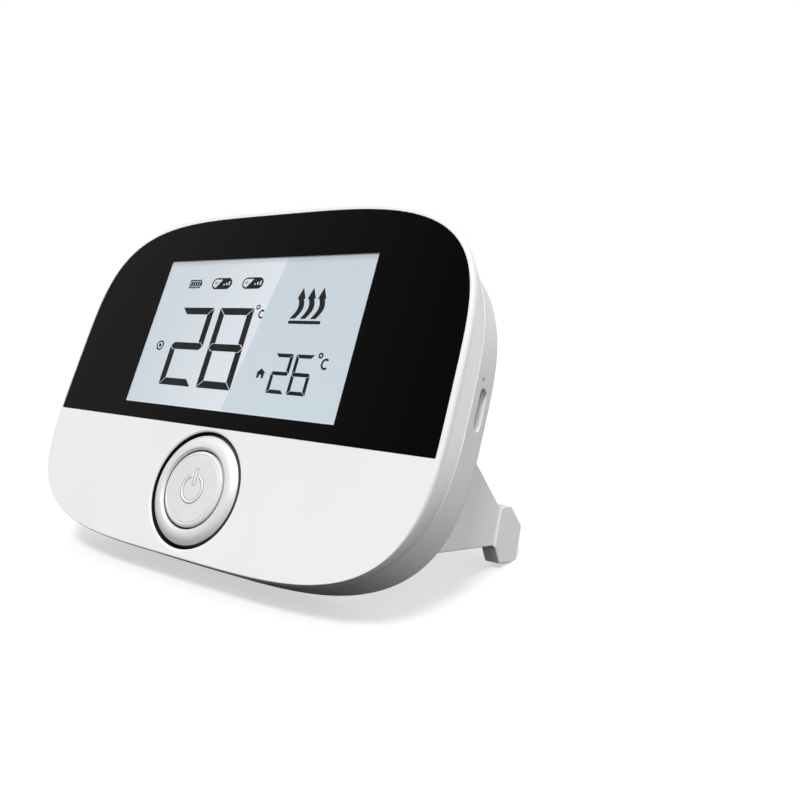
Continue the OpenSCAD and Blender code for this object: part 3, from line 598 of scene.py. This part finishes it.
# ---- Dial ----
# The turning ring, moulded in dark ABS and sprayed on its front with a pearl silver paint; the
# skirt behind stays bare, and its dark grey also stands in as painted shade in the gap round the
# ring. Its hub runs in the well's bore and is held by a clip.

dial_r, bowl_r, bowl_y = 13.0, 9.15, 1.8
bevel_w, crown_h, crown_fall, crown_curve, crown_steps = 0.62, 0.58, 1.08, 2.5, 16
rim_r, paint_end = 12.6, 0.52
ring_back, hub_r, hub_inner_r, hub_end = 2.5, 7.0, 5.2, 7.0


# A closed solid about the dial's axis, from points as radius and height out of the face
def spin_round(bm, profile):
    verts = [bm.verts.new((r, -height, dial_z)) for r, height in profile]
    edges = [bm.edges.new(pair) for pair in zip(verts, verts[1:])]
    bmesh.ops.spin(bm, geom=verts + edges, cent=(0, 0, dial_z), axis=(0, 1, 0),
                   angle=math.radians(360), steps=128, use_merge=True)
    bmesh.ops.remove_doubles(bm, verts=bm.verts, dist=0.001)
    bmesh.ops.recalc_face_normals(bm, faces=bm.faces)


# From the bowl over the narrow inner bevel and the falling crown to the low rim
dial = bmesh.new()
crown_r = bowl_r + bevel_w
profile = [(bowl_r, -bowl_y), (bowl_r, 0.02), (bowl_r + 0.04, 0.1), (bowl_r + 0.12, 0.2),
           (bowl_r + 0.34, 0.46), (bowl_r + 0.46, 0.54), (crown_r, crown_h)]
for k in range(1, crown_steps + 1):
    profile.append((crown_r + (rim_r - crown_r) * k / crown_steps,
                    crown_h - crown_fall * (k / crown_steps) ** crown_curve))
profile += [(rim_r + 0.02, -paint_end), (dial_r - 0.03, -1.0), (dial_r, -1.1),
            (dial_r, -ring_back + 0.3), (dial_r - 0.3, -ring_back), (hub_r, -ring_back),
            (hub_r, -hub_end), (hub_inner_r, -hub_end), (hub_inner_r, -bowl_y),
            (bowl_r, -bowl_y)]
spin_round(dial, profile)

# The paint covers the crown, from the bowl's edge to just below the rim; the rest is bare, and its
# dark grey is also painted shade in the gaps round the ring and the button
for face in dial.faces:
    middle = face.calc_center_median()
    inside = math.hypot(middle.x, middle.z - dial_z) < bowl_r + 0.03
    face.material_index = int(-middle.y < (0.04 if inside else -paint_end))

# Pearl silver paint: mostly a pale lacquer, with fine metal flake that lifts the highlights
pearl = new_material("pearl_silver_paint")
place = node(pearl, "TexCoord").outputs["Object"]
# The flakes are some 0.03 mm across, drawn at 0.12 mm so that they show
flake = node(pearl, "TexVoronoi", {"Vector": place, "Scale": 1 / 0.00012})
sparkle = node(pearl, "MapRange", {"Value": flake.outputs["Distance"], "From Min": 0.0,
                                   "From Max": 0.8, "To Min": 0.38, "To Max": 0.48})
veil = node(pearl, "TexNoise", {"Vector": place, "Scale": 1 / 0.009, "Detail": 2.0})
tone = node(pearl, "MapRange", {"Value": veil.outputs["Fac"], "From Min": 0.3, "From Max": 0.7})
colour = node(pearl, "Mix", {0: tone.outputs["Result"], 6: srgb("#E9E7E6"), 7: srgb("#EFEDEE")},
              data_type="RGBA")
relief = node(pearl, "Bump", {"Height": flake.outputs["Distance"], "Strength": 0.08,
                              "Distance": 0.00001})
paint = node(pearl, "BsdfPrincipled", {
    "Base Color": colour.outputs[2], "Metallic": 0.3, "Roughness": sparkle.outputs["Result"],
    "Normal": relief.outputs["Normal"]})
node(pearl, "OutputMaterial", {"Surface": paint.outputs["BSDF"]})

# Bare ABS behind the paint: a dull dark grey, rougher than the painted front. The dark grey also
# stands in as painted shade in the gaps round the ring and the button
bare_abs_and_shade = new_material("bare_abs_and_gap_shade")
place = node(bare_abs_and_shade, "TexCoord").outputs["Object"]
cloud = node(bare_abs_and_shade, "TexNoise", {"Vector": place, "Scale": 1 / 0.002, "Detail": 2.0})
colour = node(bare_abs_and_shade, "Mix", {0: cloud.outputs["Fac"], 6: srgb("#464647"), 7: srgb("#525253")},
              data_type="RGBA")
dull = node(bare_abs_and_shade, "BsdfPrincipled", {
    "Base Color": colour.outputs[2], "Roughness": 0.6, "Specular IOR Level": 0.2})
node(bare_abs_and_shade, "OutputMaterial", {"Surface": dull.outputs["BSDF"]})

dial_piece = new_piece("dial_knob", dial, pearl, "dial")
dial_piece.data.materials.append(bare_abs_and_shade)
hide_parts("dial_ring")


# ---- Push button ----
# The button in the middle of the dial: a satin ABS cap with a fine groove inside its rim and
# a raised on-off sign, moulded in one with the stem that slides in its guide.

button_r, cap_top, cap_t = 8.75, 0.54, 1.7
stem_r, stem_end = 2.4, 5.2

button = bmesh.new()
spin_round(button, [
    (0, cap_top), (7.5, cap_top), (7.62, cap_top), (7.76, cap_top - 0.1),
    (7.86, cap_top - 0.1), (8.0, cap_top), (8.15, cap_top - 0.02), (8.45, cap_top - 0.14),
    (8.65, cap_top - 0.34), (button_r, cap_top - 0.55), (button_r, cap_top - cap_t),
    (stem_r, cap_top - cap_t), (stem_r, -stem_end), (0, -stem_end)])

# The sign: a nearly closed ring and an upright bar, both narrow ridges with sloping sides.
# A ridge's section is points across and out of the cap, and growth lengthens the bar
sign_r, sign_half_w, sign_h, sign_gap = 3.1, 0.3, 0.19, 24
bar_low, bar_top = 0.9, 4.5
# The width and height of the painted shadow's sheet round the sign, and the depth the ridges start
# from
shadow_w, shadow_h, sign_root = 0.17, 0.012, -0.02


def add_sign(bm, section, growth):
    verts = [bm.verts.new((sign_r + w, -cap_top - h, dial_z)) for w, h in section]
    start = bm.faces.new(verts)
    bmesh.ops.rotate(bm, verts=verts, cent=(0, 0, dial_z),
                     matrix=Matrix.Rotation(math.radians(sign_gap - 90), 3, "Y"))
    bmesh.ops.spin(bm, geom=[start] + list(start.edges) + verts, cent=(0, 0, dial_z),
                   axis=(0, 1, 0), angle=math.radians(360 - 2 * sign_gap), steps=72)
    verts = [bm.verts.new((w, -cap_top - h, dial_z + bar_low - growth)) for w, h in section]
    start = bm.faces.new(verts)
    made = bmesh.ops.extrude_face_region(bm, geom=[start])["geom"]
    bmesh.ops.translate(bm, verts=only_verts(made), vec=(0, 0, bar_top - bar_low + 2 * growth))
    bmesh.ops.recalc_face_normals(bm, faces=bm.faces)


sign = bmesh.new()
add_sign(sign, [(sign_half_w, sign_root), (sign_half_w - 0.03, 0.05), (0.11, sign_h - 0.02),
                (0.04, sign_h), (-0.04, sign_h), (-0.11, sign_h - 0.02),
                (-sign_half_w + 0.03, 0.05), (-sign_half_w, sign_root)], 0)
# A painted shadow: a thin dark sheet round the foot of the sign, where the sharp corner under the
# ridge holds a shadow
sign_shadow_sheet = bmesh.new()
add_sign(sign_shadow_sheet, [(sign_half_w + shadow_w, sign_root), (sign_half_w + shadow_w, shadow_h),
                     (-sign_half_w - shadow_w, shadow_h), (-sign_half_w - shadow_w, sign_root)],
         shadow_w)

# Satin ABS: a soft light grey with an even fine grain
satin = new_material("satin_grey_abs")
place = node(satin, "TexCoord").outputs["Object"]
cloud = node(satin, "TexNoise", {"Vector": place, "Scale": 1 / 0.010, "Detail": 2.0})
tone = node(satin, "MapRange", {"Value": cloud.outputs["Fac"], "From Min": 0.3, "From Max": 0.7})
colour = node(satin, "Mix", {0: tone.outputs["Result"], 6: srgb("#DFDFDF"), 7: srgb("#E4E4E3")},
              data_type="RGBA")
# The grain is about 0.05 mm, drawn at 0.18 mm so that it shows
grain = node(satin, "TexNoise", {"Vector": place, "Scale": 1 / 0.00018, "Detail": 1.0})
relief = node(satin, "Bump", {"Height": grain.outputs["Fac"], "Strength": 0.15,
                              "Distance": 0.00002})
cap = node(satin, "BsdfPrincipled", {
    "Base Color": colour.outputs[2], "Roughness": 0.42, "IOR": 1.53,
    "Normal": relief.outputs["Normal"]})
node(satin, "OutputMaterial", {"Surface": cap.outputs["BSDF"]})

button_piece = new_piece("push_button", button, satin, "button")
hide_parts("button_cap")

# The ridge is polished by touch, and its lighter colour is a painted highlight; the sheet round it
# is dull, and its dark grey is a painted shadow
for name, bm, code, rough in (("sign_painted_highlight", sign, "#F2F2F2", 0.30),
                              ("sign_painted_shadow", sign_shadow_sheet, "#8E8E8E", 0.60)):
    coat = new_material(name + "_abs")
    place = node(coat, "TexCoord").outputs["Object"]
    wear = node(coat, "TexNoise", {"Vector": place, "Scale": 1 / 0.0012, "Detail": 2.0})
    rough_level = node(coat, "MapRange", {"Value": wear.outputs["Fac"], "To Min": rough - 0.08,
                                          "To Max": rough + 0.08})
    face = node(coat, "BsdfPrincipled", {
        "Base Color": srgb(code), "Roughness": rough_level.outputs["Result"], "IOR": 1.53})
    node(coat, "OutputMaterial", {"Surface": face.outputs["BSDF"]})
    sign_piece = new_piece(name, bm, coat, "button")


# ---- Legs ----
# Two folding legs of the same white ABS. Each is a flat blade with a thicker foot at its
# end, and swings on a steel pin through its root. Its edges are rounded over, but for those
# of the pin's bore.

pin_x, pin_y, pin_bore_r, leg_round = 52.4, 13.2, 0.8, 0.35


def on_pin_bore(co):
    return abs(math.hypot(abs(co.x) - pin_x, co.y - pin_y) - pin_bore_r) < 0.05


for leg_name in ("leg_right", "leg_left"):
    leg = joined_copy(leg_name)
    leg_edges = [e for e in leg.edges if len(e.link_faces) == 2
                 and e.calc_face_angle() > math.radians(30)
                 and not all(on_pin_bore(v.co) for v in e.verts)]
    soften(leg, leg_edges, leg_round, segments=3)
    leg_piece = new_piece(leg_name + "_moulded", leg, abs_white, leg_name)
    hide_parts(leg_name)


# ---- Metal parts ----
# Zinc-plated steel screws, pins and clip, and the shells of the socket and the radio, which
# are drawn or folded from tinned sheet steel.

# Zinc plating: a cool grey metal with a cloudy bloom
plated = new_material("zinc_plated_steel")
place = node(plated, "TexCoord").outputs["Object"]
bloom = node(plated, "TexNoise", {"Vector": place, "Scale": 1 / 0.0012, "Detail": 3.0})
gloss = node(plated, "MapRange", {"Value": bloom.outputs["Fac"], "From Min": 0.3,
                                  "From Max": 0.7, "To Min": 0.28, "To Max": 0.42})
colour = node(plated, "Mix", {0: bloom.outputs["Fac"], 6: srgb("#A9ACB0"), 7: srgb("#BFC1C4")},
              data_type="RGBA")
metal = node(plated, "BsdfPrincipled", {
    "Base Color": colour.outputs[2], "Metallic": 1.0, "Roughness": gloss.outputs["Result"]})
node(plated, "OutputMaterial", {"Surface": metal.outputs["BSDF"]})

# Tinned sheet steel: a satin with faint drawing streaks along its length. It is given a pale
# colour and little metal, so that the socket reads bright within its dark opening
tinned = new_material("tinned_sheet_steel")
place = node(tinned, "TexCoord").outputs["Object"]
drawn = node(tinned, "Mapping", {"Vector": place, "Scale": (300, 3000, 3000)})
streak = node(tinned, "TexNoise", {"Vector": drawn.outputs["Vector"], "Scale": 1.0,
                                   "Detail": 2.0})
gloss = node(tinned, "MapRange", {"Value": streak.outputs["Fac"], "From Min": 0.3,
                                  "From Max": 0.7, "To Min": 0.22, "To Max": 0.34})
metal = node(tinned, "BsdfPrincipled", {
    "Base Color": srgb("#F4F4F4"), "Metallic": 0.1, "Roughness": gloss.outputs["Result"]})
node(tinned, "OutputMaterial", {"Surface": metal.outputs["BSDF"]})


# Gives a CAD node that stays in view its finish
def finish_node(name, material):
    mesh = frame["nodes"][name].data
    mesh.materials.clear()
    mesh.materials.append(material)


for name in ("housing_screws", "board_screws", "leg_pins", "dial_clip"):
    finish_node(name, plated)
for name in ("usb_shell", "wifi_shield"):
    finish_node(name, tinned)


# ---- Inner plastics and films ----
# The parts inside the case: the display's glasses, films, light guide and tray, the dial's
# encoder, the button's guide and switch, and the connectors. Each is moulded or cut from
# sheet, clipped or stuck to its neighbour.

# Each finish: its two tones, its roughness, the size of its mottle in metres, and the nodes
# that have it
inner_finishes = {
    "white_polycarbonate": ("#F0F0EE", "#E7E7E3", 0.45, 0.004, ("lcd_tray",)),
    "moulded_nylon": ("#F6F6F4", "#EFEFEC", 0.50, 0.002, (
        "usb_tongue", "battery_header", "battery_plug")),
    "natural_acetal": ("#E2E2DC", "#D6D6CF", 0.38, 0.003, (
        "encoder_rotor", "button_guide", "switch_plunger")),
    "black_moulded_resin": ("#222427", "#2E3033", 0.48, 0.0015, (
        "encoder_base", "switch_base", "controller_chip")),
    "dipped_sensor_resin": ("#3B4738", "#48573F", 0.25, 0.0008, ("temperature_sensor",)),
    "white_optical_film": ("#F4F5F5", "#EBEDEE", 0.55, 0.006, ("diffuser_film",)),
    "clear_cast_acrylic": ("#DCE9EC", "#E6F1F3", 0.08, 0.010, ("light_guide",)),
    "display_glass": ("#B9CBD1", "#C9D8DD", 0.06, 0.012, ("lcd_front_glass", "lcd_rear_glass")),
    "rear_polariser": ("#9FABB2", "#AAB5BB", 0.20, 0.008, ("rear_polariser",)),
    "led_package": ("#F3EFD2", "#E8E2BD", 0.35, 0.0006, ("backlight_leds", "charge_led")),
    "black_foam_tape": ("#262729", "#333437", 0.80, 0.0004, ("lens_adhesive", "battery_tape")),
    "conductive_rubber": ("#54585D", "#63686D", 0.65, 0.0004, ("zebra_strip",)),
    "red_pvc_sleeve": ("#A81E26", "#B92A31", 0.35, 0.001, ("battery_lead_red",)),
    "black_pvc_sleeve": ("#18181A", "#242426", 0.35, 0.001, ("battery_lead_black",)),
}
for name, (first_tone, second_tone, roughness, size, members) in inner_finishes.items():
    material = new_material(name)
    place = node(material, "TexCoord").outputs["Object"]
    mottle = node(material, "TexNoise", {"Vector": place, "Scale": 1 / size, "Detail": 3.0})
    tone = node(material, "MapRange", {"Value": mottle.outputs["Fac"], "From Min": 0.3,
                                       "From Max": 0.7})
    colour = node(material, "Mix", {0: tone.outputs["Result"], 6: srgb(first_tone),
                                    7: srgb(second_tone)}, data_type="RGBA")
    gloss = node(material, "MapRange", {"Value": mottle.outputs["Fac"], "To Min": roughness * 0.85,
                                        "To Max": min(1.0, roughness * 1.15)})
    body = node(material, "BsdfPrincipled", {
        "Base Color": colour.outputs[2], "Roughness": gloss.outputs["Result"]})
    node(material, "OutputMaterial", {"Surface": body.outputs["BSDF"]})
    for member in members:
        finish_node(member, material)


# ---- Boards, battery and aerial ----
# The circuit boards are glass epoxy under solder mask, the battery is a soft pouch of
# laminated foil, and the aerial is a spring of enamelled copper wire.

# Solder mask: a deep green or blue gloss over woven glass, with paler tracks under it
for name, mask, track, members in (
        ("green_circuit_board", "#1F5A40", "#2C7453", ("main_board", "radio_module")),
        ("blue_circuit_board", "#1B446C", "#28588A", ("wifi_module",))):
    material = new_material(name)
    place = node(material, "TexCoord").outputs["Object"]
    # The tracks run 1.2 mm apart
    tracks = node(material, "TexBrick", {
        "Vector": place, "Color1": srgb(mask), "Color2": srgb(mask), "Mortar": srgb(track),
        "Scale": 1 / 0.0048, "Mortar Size": 0.03, "Brick Width": 1.4, "Row Height": 0.25})
    weave = node(material, "TexNoise", {"Vector": place, "Scale": 1 / 0.0006, "Detail": 2.0})
    relief = node(material, "Bump", {"Height": weave.outputs["Fac"], "Strength": 0.2,
                                     "Distance": 0.00003})
    board = node(material, "BsdfPrincipled", {
        "Base Color": tracks.outputs["Color"], "Roughness": 0.32,
        "Normal": relief.outputs["Normal"]})
    node(material, "OutputMaterial", {"Surface": board.outputs["BSDF"]})
    for member in members:
        finish_node(member, material)

# Laminated aluminium foil: a soft silver with shallow crinkles
foil = new_material("laminated_foil_pouch")
place = node(foil, "TexCoord").outputs["Object"]
crinkle = node(foil, "TexNoise", {"Vector": place, "Scale": 1 / 0.005, "Detail": 4.0})
relief = node(foil, "Bump", {"Height": crinkle.outputs["Fac"], "Strength": 0.5,
                             "Distance": 0.0002})
colour = node(foil, "Mix", {0: crinkle.outputs["Fac"], 6: srgb("#BFC2C6"), 7: srgb("#D2D4D7")},
              data_type="RGBA")
pouch = node(foil, "BsdfPrincipled", {
    "Base Color": colour.outputs[2], "Metallic": 0.8, "Roughness": 0.36,
    "Normal": relief.outputs["Normal"]})
node(foil, "OutputMaterial", {"Surface": pouch.outputs["BSDF"]})
finish_node("battery_cell", foil)

# Enamelled copper: a warm bright metal under clear varnish
copper = new_material("enamelled_copper_wire")
place = node(copper, "TexCoord").outputs["Object"]
enamel = node(copper, "TexNoise", {"Vector": place, "Scale": 1 / 0.001, "Detail": 2.0})
colour = node(copper, "Mix", {0: enamel.outputs["Fac"], 6: srgb("#B06A35"), 7: srgb("#C8874C")},
              data_type="RGBA")
wire = node(copper, "BsdfPrincipled", {
    "Base Color": colour.outputs[2], "Metallic": 1.0, "Roughness": 0.3})
node(copper, "OutputMaterial", {"Surface": wire.outputs["BSDF"]})
finish_node("antenna_coil", copper)


# ---- Studio ----
# A pale floor that keeps the shadow, a white surround, a far lamp high in front, a weak wide
# one on the right, and a camera low in front of the right side.

paper_lift, surround_level = 0.54, 0.60
camera_place, camera_way = (0.12236, -0.12840, 0.06363), (-0.5327, 0.8343, -0.1419)

disc = bmesh.new()
bmesh.ops.create_circle(disc, cap_ends=True, segments=96, radius=6)
sheet = bpy.data.meshes.new("floor")
disc.to_mesh(sheet)
disc.free()
floor = add_object("floor", sheet)


# 1 for what the camera sees, straight or through glass, and 0 for light and reflections
def seen_rays(owner):
    rays = node(owner, "LightPath")
    either = node(owner, "Math", {0: rays.outputs["Is Camera Ray"],
                                  1: rays.outputs["Is Transmission Ray"]}, operation="MAXIMUM")
    return either.outputs[0]


# Matt pale paper. The camera sees it lifted to white away from the shadow. To light and
# reflections it is dark, so that little of it shows on the object's underside
paper = new_material("pale_paper")
seen = seen_rays(paper)
matt = node(paper, "BsdfDiffuse", {"Color": srgb("#B4B4B4")})
dim = node(paper, "BsdfDiffuse", {"Color": srgb("#2C2C2C")})
lift = node(paper, "Emission", {"Color": (1, 1, 1, 1), "Strength": paper_lift})
both = node(paper, "AddShader", {0: matt.outputs[0], 1: lift.outputs[0]})
mixed = node(paper, "MixShader", {0: seen, 1: dim.outputs[0], 2: both.outputs[0]})
node(paper, "OutputMaterial", {"Surface": mixed.outputs[0]})
sheet.materials.append(paper)

# The surround: white to the camera, and a plain even light to the object
world = bpy.data.worlds.new("surround")
bpy.context.scene.world = world
world.use_nodes = True
world.node_tree.nodes.clear()
level = node(world, "MapRange", {"Value": seen_rays(world), "To Min": surround_level,
                                 "To Max": 1.0})
surround = node(world, "Background", {"Color": (1, 1, 1, 1), "Strength": level.outputs["Result"]})
node(world, "OutputWorld", {"Surface": surround.outputs[0]})

# Each lamp by the way to it, its strength and how wide it looks, in degrees
for name, way, strength, spread in (("high_lamp", (0.17, -0.46, 0.86), 2.25, 14),
                                    ("side_lamp", (0.90, 0.30, 0.08), 1.2, 40)):
    lamp_data = bpy.data.lights.new(name, "SUN")
    lamp_data.angle = math.radians(spread)
    lamp_data.energy = strength
    lamp = add_object(name, lamp_data)
    lamp.rotation_euler = Vector(way).to_track_quat("Z", "Y").to_euler()

camera_data = bpy.data.cameras.new("camera")
camera_data.lens = 31.5
camera_data.sensor_width = 36
camera_data.clip_start = 0.005
camera = add_object("camera", camera_data)
camera.location = camera_place
camera.rotation_euler = Vector(camera_way).to_track_quat("-Z", "Y").to_euler()
bpy.context.scene.camera = camera
bpy.context.scene.view_settings.view_transform = "Standard"
